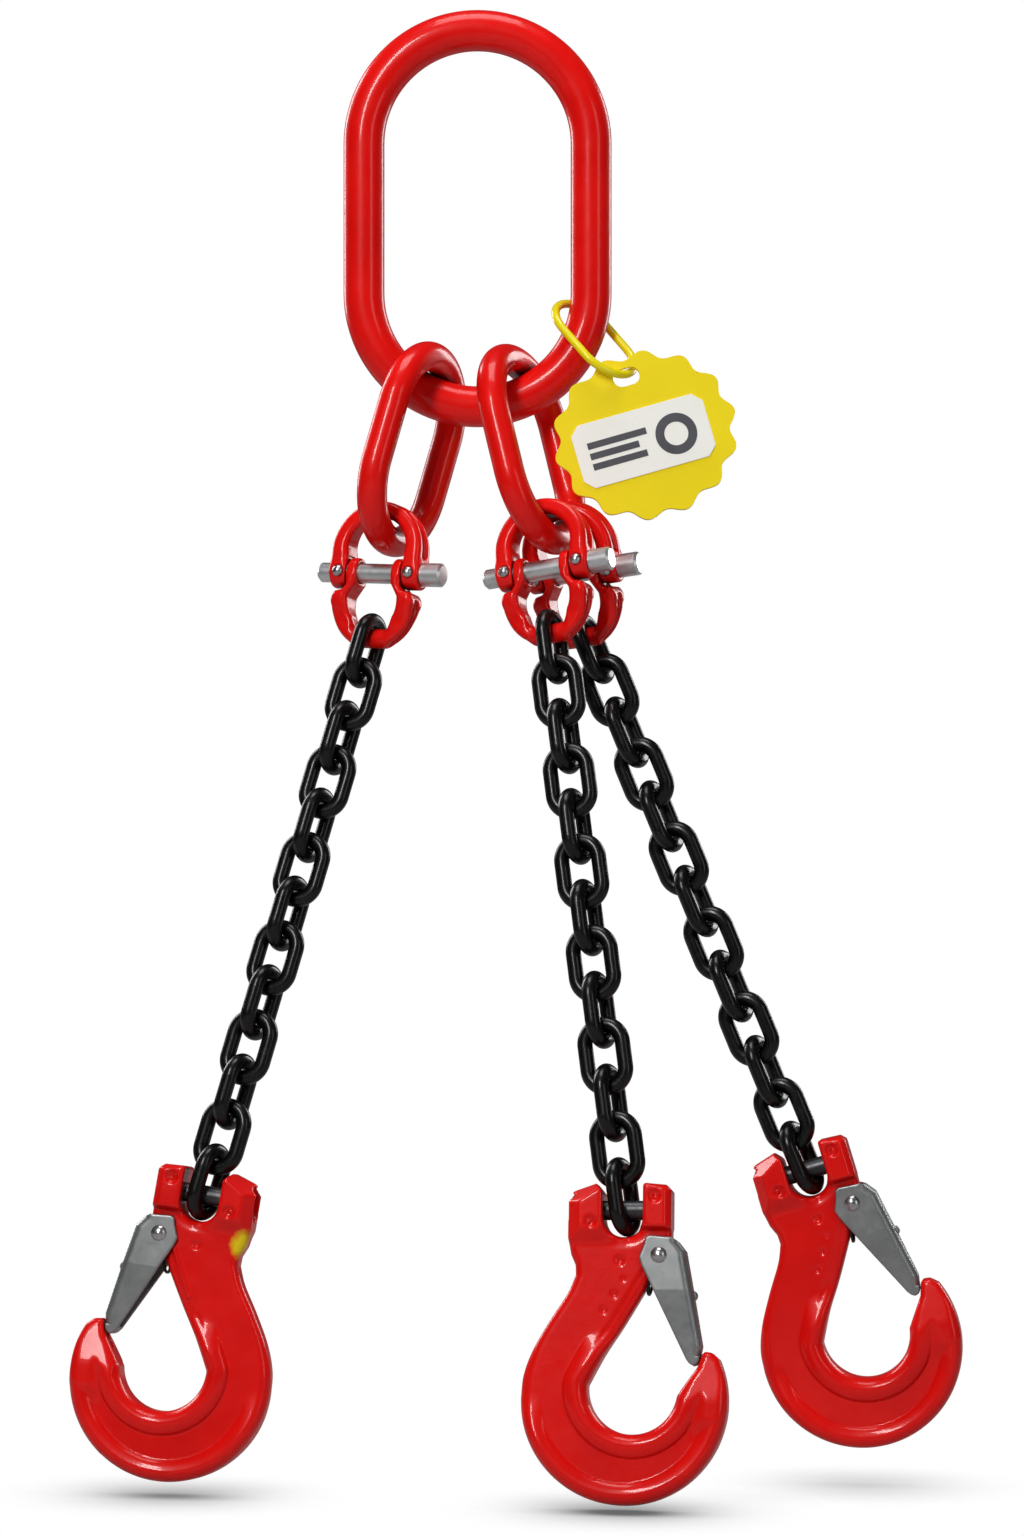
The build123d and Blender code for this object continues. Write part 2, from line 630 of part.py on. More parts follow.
def tag_places():
    """Locations of the ring on the master's right limb and of the tag on the ring."""
    ring_up = unit((-0.62, 0.36, 0.76))
    ring_middle = master_crown(-72.0) - ring_up * (RING_LEN / 2 - 16.8)
    ring_at = place(ring_middle, Vector(-0.45, -0.82, -0.35), ring_up)
    ring_low = ring_middle - ring_up * ((RING_LEN + RING_WIRE) / 2)

    tilt, roll = math.radians(TAG_TILT), math.radians(TAG_ROLL)
    tag_back = Vector(0, math.cos(tilt), math.sin(tilt))
    tilted_up = Vector(0, -math.sin(tilt), math.cos(tilt))
    tag_side = Vector(1, 0, 0) * math.cos(roll) + tilted_up * math.sin(roll)
    tag_up = tag_side.cross(tag_back)
    # the ring's low bend sits at the top of the slot
    hole = ring_low - tag_up * 1.2
    tag_middle = hole - tag_side * TAG_HOLE_X - tag_up * TAG_HOLE_Z
    return ring_at, place(tag_middle, tag_side, tag_up)


# ------------------------------------------------------------ files
def write(part, name):
    part.label = name
    export_step(part, f"parts/{name}.step")


def write_placed(source, name, *locations):
    with BuildPart() as placed:
        with Locations(*locations):
            add(source)
    write(placed.part, name)


os.makedirs("parts", exist_ok=True)

write(oblong_link(MASTER_WIRE, MASTER_LEN, MASTER_WIDTH, -MASTER_LEN / 2), "master_link")

inter_link = oblong_link(INTER_WIRE, INTER_LEN, INTER_WIDTH)
inter_lows = {}
for inter_name, inter in INTER.items():
    inter_at, inter_lows[inter_name] = inter_places(inter)
    write_placed(inter_link, f"intermediate_link_{inter_name}", inter_at)

ring_at, tag_at = tag_places()
write_placed(oblong_link(RING_WIRE, RING_LEN, RING_WIDTH), "tag_ring", ring_at)
write_placed(tag_plate(), "tag_plate", tag_at)
write_placed(tag_label(), "tag_label", tag_at)

# pieces shared by the three legs
chain_link = oblong_link(CHAIN_WIRE, CHAIN_LEN, CHAIN_WIDTH)
lower_half = joining_lower()
upper_pieces = {"upper": joining_upper(), "pin": joining_pin(), "studs": joining_studs()}
hook_pieces = {
    "body": hook_body(),
    "load_pin": hook_load_pin(),
    "roll_pins": hook_roll_pins(),
    "latch": hook_latch(),
    "latch_rivet": hook_latch_rivet(),
    "latch_spring": hook_latch_spring(),
}

for leg_name, leg in LEGS.items():
    upper_at, lower_at, links, hook_at = leg_places(leg, inter_lows[leg["inter"]])
    write_placed(lower_half, f"joining_link_{leg_name}_lower", lower_at)
    for piece, source in upper_pieces.items():
        write_placed(source, f"joining_link_{leg_name}_{piece}", upper_at)
    for piece, source in hook_pieces.items():
        write_placed(source, f"hook_{leg_name}_{piece}", hook_at)
    for first, last in LINK_GROUPS:
        numbers = f"link_{first:02d}" if first == last else f"links_{first:02d}_{last:02d}"
        write_placed(chain_link, f"chain_{leg_name}_{numbers}", *links[first - 1:last])
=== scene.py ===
# A three-leg chain sling: red master and intermediate links with a yellow tag, and on every
# chain leg a two-part red coupling and a forged hook with a sprung latch.
# It hangs in the XZ plane with z up; the camera looks along +y. The scene is in metres.
# The pieces are modelled in millimetres, each in a frame of its own on a pin.
import itertools
import json
import math
from fnmatch import fnmatchcase
from functools import cached_property

import bpy
import numpy as np
from mathutils import Matrix, Vector


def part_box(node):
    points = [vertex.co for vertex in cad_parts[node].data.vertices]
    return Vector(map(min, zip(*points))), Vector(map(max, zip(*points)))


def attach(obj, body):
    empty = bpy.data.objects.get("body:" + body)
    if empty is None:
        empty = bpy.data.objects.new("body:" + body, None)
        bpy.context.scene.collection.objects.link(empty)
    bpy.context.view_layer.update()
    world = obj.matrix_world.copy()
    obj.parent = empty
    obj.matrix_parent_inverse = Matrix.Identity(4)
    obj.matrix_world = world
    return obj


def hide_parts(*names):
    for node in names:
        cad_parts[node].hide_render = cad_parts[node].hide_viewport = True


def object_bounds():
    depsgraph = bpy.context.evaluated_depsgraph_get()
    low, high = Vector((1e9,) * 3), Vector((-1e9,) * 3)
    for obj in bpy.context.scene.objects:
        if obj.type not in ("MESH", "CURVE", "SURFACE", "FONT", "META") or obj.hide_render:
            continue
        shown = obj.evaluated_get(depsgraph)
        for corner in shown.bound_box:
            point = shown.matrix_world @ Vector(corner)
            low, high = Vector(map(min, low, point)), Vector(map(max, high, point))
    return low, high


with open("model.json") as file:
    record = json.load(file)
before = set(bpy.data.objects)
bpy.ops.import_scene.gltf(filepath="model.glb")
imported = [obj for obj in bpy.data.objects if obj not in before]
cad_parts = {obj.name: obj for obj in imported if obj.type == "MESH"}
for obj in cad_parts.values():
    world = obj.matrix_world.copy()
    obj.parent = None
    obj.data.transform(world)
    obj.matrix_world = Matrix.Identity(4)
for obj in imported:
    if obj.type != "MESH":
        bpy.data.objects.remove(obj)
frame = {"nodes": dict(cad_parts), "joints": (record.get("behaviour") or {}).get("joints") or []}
cad_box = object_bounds()
JOINTS = {joint["name"]: joint for joint in frame["joints"]}
LEGS = ("left", "middle", "right")


# ---------------------------------------------------------------- curves and blends
def smoothstep(start, end, value):
    """0 at start, 1 at end; start may be the larger."""
    t = np.clip((value - start) / (end - start), 0.0, 1.0)
    return t * t * (3 - 2 * t)


def smooth_max(a, b, blend):
    share = np.clip(0.5 + 0.5 * (a - b) / blend, 0, 1)
    return b + (a - b) * share + blend * share * (1 - share)


def join(a, b, blend):
    """Union of two fields with a soft seam."""
    return -smooth_max(-a, -b, blend)


def cut(field, tool, blend):
    """Field with the tool taken out of it."""
    return smooth_max(field, -tool, blend)


def corner(a, b):
    return np.hypot(np.maximum(a, 0), np.maximum(b, 0))


def rounded(a, b, radius):
    """Intersection of two fields with its edge rounded."""
    a, b = a + radius, b + radius
    return np.minimum(np.maximum(a, b), 0) + corner(a, b) - radius


def ball(x, y, z, centre, radius):
    return np.sqrt((x - centre[0])**2 + (z - centre[2])**2 + (y - centre[1])**2) - radius


def arc(start, middle, end, steps=24):
    """Points on the circular arc through three points."""
    (ax, ay), (mx, my), (bx, by) = start, middle, end
    sa, sm, sb = ax**2 + ay**2, mx**2 + my**2, bx**2 + by**2
    d = 2 * (ax * (my - by) + mx * (by - ay) + bx * (ay - my))
    cx = (sa * (my - by) + sm * (by - ay) + sb * (ay - my)) / d
    cy = (sa * (bx - mx) + sm * (ax - bx) + sb * (mx - ax)) / d
    radius = math.hypot(ax - cx, ay - cy)
    first, mid, last = (math.atan2(p[1] - cy, p[0] - cx) for p in (start, middle, end))
    turn = 2 * math.pi
    sweep = (last - first) % turn
    if (mid - first) % turn > sweep:
        sweep -= turn
    angles = [first + sweep * i / steps for i in range(steps + 1)]
    return [(cx + radius * math.cos(a), cy + radius * math.sin(a)) for a in angles]


def spline(points, steps=7):
    """Catmull-Rom curve through 2D or 3D points."""
    p = [np.array(q, float) for q in points]
    p = [2 * p[0] - p[1]] + p + [2 * p[-1] - p[-2]]
    out = []
    for i in range(1, len(p) - 2):
        for k in range(steps):
            t = k / steps
            out.append(tuple(0.5 * ((2 * p[i]) + (-p[i - 1] + p[i + 1]) * t
                       + (2 * p[i - 1] - 5 * p[i] + 4 * p[i + 1] - p[i + 2]) * t**2
                       + (-p[i - 1] + 3 * p[i] - 3 * p[i + 1] + p[i + 2]) * t**3)))
    out.append(tuple(points[-1]))
    return out


# ---------------------------------------------------------------- distance maps in the XZ plane
def outline_distance(points, x, z):
    """Signed distance to a closed outline, negative inside."""
    v = np.array(points, float)
    v = v[[0] + [i for i in range(1, len(v)) if np.hypot(*(v[i] - v[i - 1])) > 1e-6]]
    w = np.roll(v, -1, axis=0)
    ex, ez = (w - v)[:, 0], (w - v)[:, 1]
    length2 = np.maximum(ex**2 + ez**2, 1e-12)
    out = np.empty(x.shape)
    batch = 20000
    for s in range(0, x.size, batch):
        px, pz = x[s:s + batch, None], z[s:s + batch, None]
        t = np.clip(((px - v[:, 0]) * ex + (pz - v[:, 1]) * ez) / length2, 0, 1)
        d = np.sqrt(np.min((px - v[:, 0] - t * ex)**2 + (pz - v[:, 1] - t * ez)**2, axis=1))
        up = (v[:, 1] <= pz) & (w[:, 1] > pz)
        down = (v[:, 1] > pz) & (w[:, 1] <= pz)
        side = ex * (pz - v[:, 1]) - ez * (px - v[:, 0])
        winding = np.sum(up & (side > 0), axis=1) - np.sum(down & (side < 0), axis=1)
        out[s:s + batch] = np.where(winding != 0, -d, d)
    return out


def segment_distance2(x, z, start, end):
    """Squared distance to a straight segment."""
    e = np.array(end) - np.array(start)
    t = ((x - start[0]) * e[0] + (z - start[1]) * e[1]) / max(e @ e, 1e-9)
    t = np.clip(t, 0, 1)
    return (x - start[0] - t * e[0])**2 + (z - start[1] - t * e[1])**2


def line_distance(points, x, z):
    """Unsigned distance to an open line."""
    best = np.full(x.shape, 1e9)
    for start, end in zip(points[:-1], points[1:]):
        best = np.minimum(best, segment_distance2(x, z, start, end))
    return np.sqrt(best)


class DistanceMap:
    """A distance sampled once on a grid and read by bilinear lookup."""

    def __init__(self, distance, points, area, step):
        self.low, high = area
        self.step = step
        x, z = np.meshgrid(*(self.low[k] + step * np.arange(int((high[k] - self.low[k]) / step) + 2)
                             for k in range(2)), indexing="ij")
        self.values = distance(points, x.ravel(), z.ravel()).reshape(x.shape)

    def __call__(self, x, z):
        values = self.values
        u = np.clip((x - self.low[0]) / self.step, 0, values.shape[0] - 1.001)
        w = np.clip((z - self.low[1]) / self.step, 0, values.shape[1] - 1.001)
        i, k = u.astype(int), w.astype(int)
        a, b = u - i, w - k
        return ((1 - a) * (1 - b) * values[i, k] + a * (1 - b) * values[i + 1, k]
                + (1 - a) * b * values[i, k + 1] + a * b * values[i + 1, k + 1])


# ---------------------------------------------------------------- meshes
def surface_net(field, low, high, step):
    """Vertices and quads on the zero surface of a field, one vertex to a crossed cell."""
    shape = [int(math.ceil((high[k] - low[k]) / step)) + 1 for k in range(3)]
    axes = [low[k] + step * np.arange(shape[k]) for k in range(3)]
    y, z = np.meshgrid(axes[1], axes[2], indexing="ij")
    values = np.empty(shape)
    for i in range(shape[0]):
        x = np.full(y.size, axes[0][i])
        values[i] = field(x, y.ravel(), z.ravel()).reshape(y.shape)
    inside = values < 0

    # each vertex starts at the mean of the crossings on the cell's twelve edges
    halves = (slice(0, -1), slice(1, None))
    cells = [count - 1 for count in shape]
    crossings = np.zeros(cells)
    offset = np.zeros(cells + [3])
    for start in itertools.product((0, 1), repeat=3):
        for k in range(3):
            if start[k]:
                continue
            end = list(start)
            end[k] = 1
            first, last = (values[tuple(halves[bit] for bit in ends)] for ends in (start, end))
            hit = (first < 0) != (last < 0)
            share = np.where(hit, first / np.where(hit, first - last, 1.0), 0.0)
            for d in range(3):
                along = share if d == k else 0.0
                offset[..., d] += np.where(hit, start[d] + along, 0.0)
            crossings += hit
    cell = crossings > 0
    index = -np.ones(cell.shape, int)
    index[cell] = np.arange(cell.sum())
    verts = np.argwhere(cell) + offset[cell] / crossings[cell][:, None]
    verts = verts * step + np.array(low)

    # one quad round every crossed grid edge
    quads = []
    for k in range(3):
        a, b = (k + 1) % 3, (k + 2) % 3
        before, after = [slice(1, -1)] * 3, [slice(1, -1)] * 3
        before[k], after[k] = halves
        from_inside = inside[tuple(before)]
        crossed = from_inside != inside[tuple(after)]
        edges = np.argwhere(crossed) + [0 if d == k else 1 for d in range(3)]
        ring = []
        for step_a, step_b in ((-1, -1), (0, -1), (0, 0), (-1, 0)):
            around = edges.copy()
            around[:, a] += step_a
            around[:, b] += step_b
            ring.append(index[tuple(around.T)])
        quad = np.stack(ring, 1)
        flip = ~from_inside[crossed]
        quad[flip] = quad[flip][:, ::-1]
        quads.append(quad)

    # three damped Newton steps on to the surface
    reach = 0.08
    for _ in range(3):
        here = field(*verts.T)
        slope = np.stack([(field(*(verts + nudge).T) - field(*(verts - nudge).T)) / (2 * reach)
                          for nudge in np.eye(3) * reach], 1)
        steepness = np.maximum((slope**2).sum(1), 0.15)
        move = np.clip(-here / steepness, -0.4 * step, 0.4 * step)
        verts = verts + slope * move[:, None]
    return verts, np.concatenate(quads)


def tube(points, radius, sides):
    """Round wire swept along points, with shallow cone ends."""
    p = np.array(points, float)
    tangent = np.gradient(p, axis=0)
    tangent /= np.linalg.norm(tangent, axis=1)[:, None]
    normal = np.cross(tangent[0], (0.3, 0.2, 0.9))
    verts, faces = [], []
    for centre, t in zip(p, tangent):
        normal = normal - t * (normal @ t)
        normal /= np.linalg.norm(normal)
        across = np.cross(t, normal)
        for k in range(sides):
            a = 2 * math.pi * k / sides
            verts.append(centre + radius * (math.cos(a) * normal + math.sin(a) * across))
    pairs = [(k, (k + 1) % sides) for k in range(sides)]
    for row in range(0, (len(p) - 1) * sides, sides):
        faces += [(row + k, row + n, row + sides + n, row + sides + k) for k, n in pairs]
    first, last = len(verts), (len(p) - 1) * sides
    verts.append(p[0] - tangent[0] * radius * 0.5)
    verts.append(p[-1] + tangent[-1] * radius * 0.5)
    faces += [(n, k, first) for k, n in pairs]
    faces += [(last + k, last + n, first + 1) for k, n in pairs]
    return np.array(verts), faces


def build_mesh(name, verts, faces):
    """Smooth-shaded mesh from vertices in millimetres."""
    mesh = bpy.data.meshes.new(name)
    mesh.from_pydata([tuple(v) for v in verts * 0.001], [],
                     [tuple(int(i) for i in face) for face in faces])
    mesh.validate()
    mesh.update()
    mesh.polygons.foreach_set("use_smooth", [True] * len(mesh.polygons))
    return mesh


def put(name, mesh, placement, body, replaced, material):
    """Place a copy of a mesh, fix it to a body and let it replace a CAD node, if one is given."""
    own = mesh.copy()
    own.name = name
    own.transform(placement)
    own.materials.append(material)
    piece = bpy.data.objects.new(name, own)
    bpy.context.scene.collection.objects.link(piece)
    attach(piece, body)
    if replaced:
        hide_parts(replaced)
    return piece


# ---------------------------------------------------------------- materials
class Shader:
    """Adds nodes to a tree. Inputs are a dict of sockets to link or values to set."""

    def __init__(self, tree):
        self.nodes, self.links = tree.nodes, tree.links

    @cached_property
    def coords(self):
        return self.add("TexCoord").outputs["Object"]

    def feed(self, node, inputs):
        for key, value in inputs.items():
            if isinstance(value, bpy.types.NodeSocket):
                self.links.new(value, node.inputs[key])
            else:
                node.inputs[key].default_value = value

    def add(self, kind, inputs=None, **settings):
        node = self.nodes.new("ShaderNode" + kind)
        for key, value in settings.items():
            setattr(node, key, value)
        self.feed(node, inputs or {})
        return node

    def surface(self, inputs):
        self.feed(self.nodes["Principled BSDF"], inputs)

    def noise(self, scale, detail=4.0, roughness=0.55, vector=None):
        return self.add("TexNoise", {"Scale": scale, "Detail": detail, "Roughness": roughness,
                                     "Vector": vector or self.coords}).outputs["Fac"]

    def ramp(self, source, *stops):
        """Stops are (position, grey value)."""
        node = self.add("ValToRGB", {0: source})
        elements = node.color_ramp.elements
        while len(elements) < len(stops):
            elements.new(0.5)
        for element, (position, grey) in zip(elements, stops):
            element.position = position
            element.color = (grey, grey, grey, 1)
        return node.outputs[0]

    def rise(self, source, start, end):
        return self.ramp(source, (start, 0.0), (end, 1.0))

    def mix(self, share, none, full):
        inputs = {0: share}
        for key, colour in ((6, none), (7, full)):
            inputs[key] = (*colour, 1) if isinstance(colour, tuple) else colour
        return self.add("Mix", inputs, data_type="RGBA").outputs[2]

    def math(self, operation, a, b):
        return self.add("Math", {0: a, 1: b}, operation=operation).outputs[0]

    def multiply(self, a, b):
        return self.math("MULTIPLY", a, b)

    def blotches(self, scale, detail, low, high):
        """Slow drift between two colours."""
        return self.mix(self.rise(self.noise(scale, detail), start=0.3, end=0.7), low, high)

    def bump(self, height, strength, distance, under=None):
        inputs = {"Strength": strength, "Distance": distance, "Height": height}
        if under is not None:
            inputs["Normal"] = under
        return self.add("Bump", inputs).outputs[0]


def new_material(name):
    material = bpy.data.materials.new(name)
    material.use_nodes = True
    return material, Shader(material.node_tree)


def red_paint(name, rubbed_edges=False):
    """Gloss powder coat: orange peel, slow colour drift, painted shade darkening crevices and seams
    from ambient occlusion, small chips.
    """
    material, s = new_material(name)
    colour = s.blotches(scale=22, detail=3,
                        low=(0.70, 0.0030, 0.0020), high=(0.84, 0.0060, 0.0035))
    # painted shade: the red turns dark where ambient occlusion finds crevices, seams and gaps
    # between parts
    openness = s.add("AmbientOcclusion", {"Distance": 0.007}, samples=8).outputs["AO"]
    crevice_painted_shade_red = (0.13, 0.0010, 0.0008)
    colour = s.mix(s.rise(openness, start=0.15, end=0.75), crevice_painted_shade_red, colour)
    specks = s.rise(s.noise(scale=900, detail=2), start=0.70, end=0.78)
    patches = s.rise(s.noise(scale=45), start=0.56, end=0.72)
    chips = s.multiply(specks, patches)
    colour = s.mix(s.multiply(chips, 0.45), none=colour, full=(0.10, 0.004, 0.003))
    if rubbed_edges:
        pointiness = s.add("NewGeometry").outputs["Pointiness"]
        edge = s.rise(pointiness, start=0.53, end=0.62)
        worn = s.multiply(edge, s.rise(s.noise(scale=60, detail=5), start=0.42, end=0.62))
        colour = s.mix(s.multiply(worn, 0.35), none=colour, full=(0.88, 0.045, 0.03))
    gloss = s.ramp(s.noise(scale=130, detail=5), (0.25, 0.27), (0.75, 0.41))
    orange_peel = s.bump(s.noise(scale=620, detail=2, roughness=0.4),
                         strength=0.10, distance=0.00035)
    cast_skin = s.bump(s.noise(scale=75), strength=0.16, distance=0.0012, under=orange_peel)
    s.surface({"Base Color": colour,
               "Roughness": s.math("ADD", gloss, s.multiply(chips, 0.3)),
               "Normal": cast_skin,
               "Coat Weight": 0.34, "Coat Roughness": 0.09, "Specular IOR Level": 0.14})
    return material


def black_chain():
    """Black satin lacquer with dusty patches and fine nicks."""
    material, s = new_material("chain_black_lacquer")
    colour = s.blotches(scale=60, detail=4,
                        low=(0.0008, 0.0008, 0.0009), high=(0.0024, 0.0023, 0.0022))
    dust = s.rise(s.noise(scale=240, detail=5), start=0.58, end=0.78)
    colour = s.mix(s.multiply(dust, 0.4), none=colour, full=(0.014, 0.013, 0.012))
    cracks = s.add("TexVoronoi", {"Vector": s.coords}, feature="DISTANCE_TO_EDGE")
    s.feed(cracks, {"Scale": 520.0})
    nicks = s.ramp(cracks.outputs["Distance"], (0.0, 1.0), (0.035, 0.0))
    nicks = s.multiply(nicks, s.rise(s.noise(scale=150, detail=3), start=0.60, end=0.72))
    colour = s.mix(s.multiply(nicks, 0.6), none=colour, full=(0.10, 0.10, 0.10))
    skin = s.bump(s.noise(scale=420), strength=0.16, distance=0.0004)
    s.surface({"Base Color": colour,
               "Roughness": s.ramp(s.noise(scale=210, detail=5), (0.25, 0.27), (0.8, 0.46)),
               "Normal": s.bump(nicks, strength=-0.10, distance=0.0003, under=skin),
               "Specular IOR Level": 0.20, "Coat Weight": 0.30, "Coat Roughness": 0.14})
    return material


def steel(name, light, dark, roughness, grain_scale=900.0, grain=0.10, metallic=1.0, dents=0.08):
    """Fine grain drawn out along z, dark spots and blotched roughness."""
    material, s = new_material(name)
    colour = s.blotches(scale=90, detail=5, low=dark, high=light)
    spots = s.rise(s.noise(scale=700, detail=3), start=0.66, end=0.76)
    colour = s.mix(s.multiply(spots, 0.35), none=colour, full=tuple(c * 0.35 for c in dark))
    smooth, rough = roughness
    drawn = s.add("Mapping", {"Vector": s.coords, "Scale": (1.0, 1.0, 0.07)}).outputs[0]
    lines = s.bump(s.noise(grain_scale, detail=3, vector=drawn), strength=grain, distance=0.0002)
    s.surface({"Base Color": colour, "Metallic": metallic,
               "Roughness": s.ramp(s.noise(scale=260, detail=5), (0.25, smooth), (0.8, rough)),
               "Normal": s.bump(s.noise(scale=130, detail=3), strength=dents, distance=0.0006,
                                under=lines)})
    return material


def grimy_coat(name, low, high, roughness, coat=0.1, relief=0.12):
    """Light coat or paper with patches of grime."""
    material, s = new_material(name)
    colour = s.blotches(scale=30, detail=4, low=low, high=high)
    grime = s.multiply(s.rise(s.noise(scale=420, detail=5), start=0.62, end=0.75),
                       s.rise(s.noise(scale=40, detail=3), start=0.5, end=0.7))
    colour = s.mix(s.multiply(grime, 0.35), none=colour, full=(0.30, 0.22, 0.01))
    s.surface({"Base Color": colour,
               "Roughness": s.ramp(s.noise(scale=160), (0.25, roughness), (0.8, roughness + 0.14)),
               "Normal": s.bump(s.noise(scale=380), strength=relief, distance=0.0004),
               "Coat Weight": coat, "Specular IOR Level": 0.2})
    return material


def smeared(base, name, centre):
    """The same coat with a small smear of yellow round one point of the rest pose."""
    material = base.copy()
    material.name = name
    s = Shader(material.node_tree)
    colour = s.nodes["Principled BSDF"].inputs["Base Color"].links[0].from_socket
    away = s.add("VectorMath", {0: s.coords, 1: centre}, operation="DISTANCE").outputs["Value"]
    ragged = s.math("ADD", away, s.multiply(s.noise(scale=180, detail=3), 0.006))
    smear = s.ramp(ragged, (0.0086, 1.0), (0.0108, 0.0))
    s.surface({"Base Color": s.mix(smear, none=colour, full=(0.80, 0.58, 0.006))})
    return material


MATERIALS = {
    "forged": red_paint("red_powder_coat_forged", rubbed_edges=True),
    "wire": red_paint("red_powder_coat_wire"),
    "chain": black_chain(),
    "pin": steel("bright_pin_steel", light=(0.72, 0.73, 0.74), dark=(0.60, 0.61, 0.62),
                 roughness=(0.36, 0.46), grain=0.012, dents=0.01),
    # painted shade: the load pin is near-black so that it reads as the shade inside the hook's
    # slot, not as a known finish
    "load_pin": steel("load_pin_dark_as_slot_shade", light=(0.085, 0.085, 0.09), dark=(0.04, 0.04, 0.042),
                      roughness=(0.30, 0.5), grain_scale=800.0, grain=0.08, metallic=0.8),
    "dome": steel("rivet_dome_steel", light=(0.60, 0.60, 0.61), dark=(0.38, 0.38, 0.39),
                  roughness=(0.22, 0.40), grain_scale=500.0, grain=0.03, dents=0.02),
    "latch": steel("satin_latch_steel", light=(0.33, 0.335, 0.335), dark=(0.25, 0.257, 0.26),
                   roughness=(0.34, 0.48), grain_scale=1200.0, metallic=0.75, dents=0.05),
    "spring": steel("dark_spring_steel", light=(0.05, 0.05, 0.052), dark=(0.02, 0.02, 0.022),
                    roughness=(0.30, 0.5)),
    "tag": grimy_coat("tag_yellow_coat", low=(0.90, 0.70, 0.002), high=(0.95, 0.75, 0.004),
                      roughness=0.42),
    "label": grimy_coat("label_paper", low=(0.93, 0.92, 0.85), high=(0.96, 0.95, 0.89),
                        roughness=0.34, coat=0.12, relief=0.05),
    "print": steel("label_print", light=(0.066, 0.066, 0.080), dark=(0.052, 0.052, 0.064),
                   roughness=(0.45, 0.6), grain_scale=700.0, grain=0.05, metallic=0.0),
    "ring": grimy_coat("ring_yellow_sleeve", low=(0.84, 0.72, 0.004), high=(0.90, 0.78, 0.01),
                       roughness=0.22, coat=0.5, relief=0.06),
}


# ---------------------------------------------------------------- hook forging
# Drawn from the bowl centre: x towards the tip, z up. The mesh frame sits on the load pin.
PIN_X, PIN_Z = -3.4, 90.7
RIVET_X, RIVET_Z = 15.1, 67.6
LIP = (34.9, 11.6)          # where the bowl ends and the tip begins
TIP_TOP = (45.9, 15.4)
INNER_EDGE = (spline([(11.8, 56.5), (-3.1, 31.8), (-13.1, 16.9), (-21.2, 1.9)])
              + arc((-21.2, 1.9), (0.8, -22.5), (24.4, -3.1), 40)[1:])
OUTER_ARC = arc((49.8, -10.6), (-2.8, -57.9), (-55.4, -4.3), 60)
SPINE = spline([(-55.4, -4.3), (-54.2, 6.8), (-49.5, 19.3), (-40.7, 34.5), (-31.8, 48.3),
                (-27.8, 57.5)])
HOOK_OUTLINE = (
    [(9.4, 103.9), (18.6, 103.4), (21.2, 100.5), (21.2, 72.5), (17.6, 64.5)] + INNER_EDGE
    + [LIP, (36.9, 17.9), (38.6, 19.3), (42.0, 18.8), TIP_TOP]
    + arc(TIP_TOP, (49.4, 2.6), (49.8, -10.6), 12)[1:] + OUTER_ARC[1:] + SPINE[1:]
    + [(-28.0, 62.5), (-30.4, 68.0), (-31.8, 76.0), (-31.8, 98.4), (-29.4, 100.6),
       (-16.4, 104.4), (PIN_X, 106.0)])
HOOK_AREA = ((-64.0, -66.0), (60.0, 114.0))
hook_map = DistanceMap(outline_distance, HOOK_OUTLINE, HOOK_AREA, 0.35)
inner_map = DistanceMap(line_distance, INNER_EDGE + [LIP], HOOK_AREA, 0.5)
outer_map = DistanceMap(line_distance, OUTER_ARC + SPINE[1:18], HOOK_AREA, 0.5)

WEB, BEAD_RISE, EAR_RISE = 7.7, 4.0, 5.3     # half thickness of the web and what is added to it
EAR_FACE = 13.5                              # y where the ear bevels start
SLOT_HALF, SLOT_FLOOR = 10.3, 87.2           # slot half width, z of its round bottom's centre
DIMPLES = ((-19.6, 84.0), (12.9, 97.3))      # x, z
MARKS = ((-5.0, 64.8, 3.55), (-3.2, 55.2, 2.75), (-7.8, 47.6, 3.05), (-13.1, 39.4, 3.05))  # x, z, r
RIB = ((6.8, 62.1), (-6.1, 37.3))            # ends, x, z


def bead(distance, centre, half_width, power):
    """Rounded ridge that follows an edge."""
    u = np.clip(np.abs(distance - centre) / half_width, 0, 1)
    return (1 - u * u) ** power


def hook_half_thickness(x, z):
    from_inner, from_outer = inner_map(x, z), outer_map(x, z)
    inner_fade = 1 - smoothstep(10, 30, z) * ((x < 10) | (z > 30))
    outer_fade = np.where(x < 0, 1 - smoothstep(-30, -2, z), 1.0)
    at_tip = smoothstep(28, 41, x) * smoothstep(-27, -14, z)
    inner_bead = bead(from_inner, centre=4.6, half_width=7.6, power=0.55) * inner_fade
    outer_bead = 0.86 * bead(from_outer, centre=3.6, half_width=7.4, power=0.7) * outer_fade
    beads = np.maximum(inner_bead, outer_bead)
    half = WEB + BEAD_RISE * np.maximum(beads, 0.92 * at_tip)
    # shallow strip along the inner edge of the neck
    strip = (1 - smoothstep(6.2, 7.0, from_inner)) * smoothstep(20, 30, z)
    strip = strip * (1 - smoothstep(62, 66, z)) * (x < 14)
    half = half - 0.55 * strip
    # the tip thins upwards
    taper = 11.7 - 4.7 * (z + 6.5) / 25.0
    half = np.where(x > 22, join(half, taper, 0.5), half)
    # thicker ears, whose swell starts higher on the tip side
    ear_start = 72.0 + 7.6 * smoothstep(-4, 4, x)
    return half + EAR_RISE * smoothstep(ear_start, 82.5, z)


